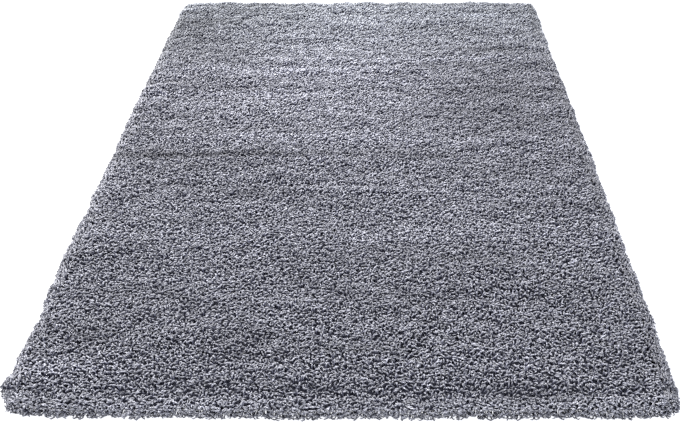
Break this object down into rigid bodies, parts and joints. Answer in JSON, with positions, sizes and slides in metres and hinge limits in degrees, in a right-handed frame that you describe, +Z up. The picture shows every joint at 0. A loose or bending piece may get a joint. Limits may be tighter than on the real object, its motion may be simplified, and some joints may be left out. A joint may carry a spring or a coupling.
{
  "type": "shag rug",
  "caption": "Rectangular shag rug with deep curly pile that falls over all four edges, lying flat on a floor.",
  "frame": {"origin": "on the floor under the middle of the rug's box", "axes": "+X across the rug, +Y along its length, +Z up out of the pile"},
  "size_m": [1.2506, 1.7446, 0.0395],
  "materials": {
    "pile_yarn": "matt blue-grey curled pile yarn"
  },
  "bodies": {
    "root": {"shag_rug": "pile_yarn"}
  },
  "joints": []
}
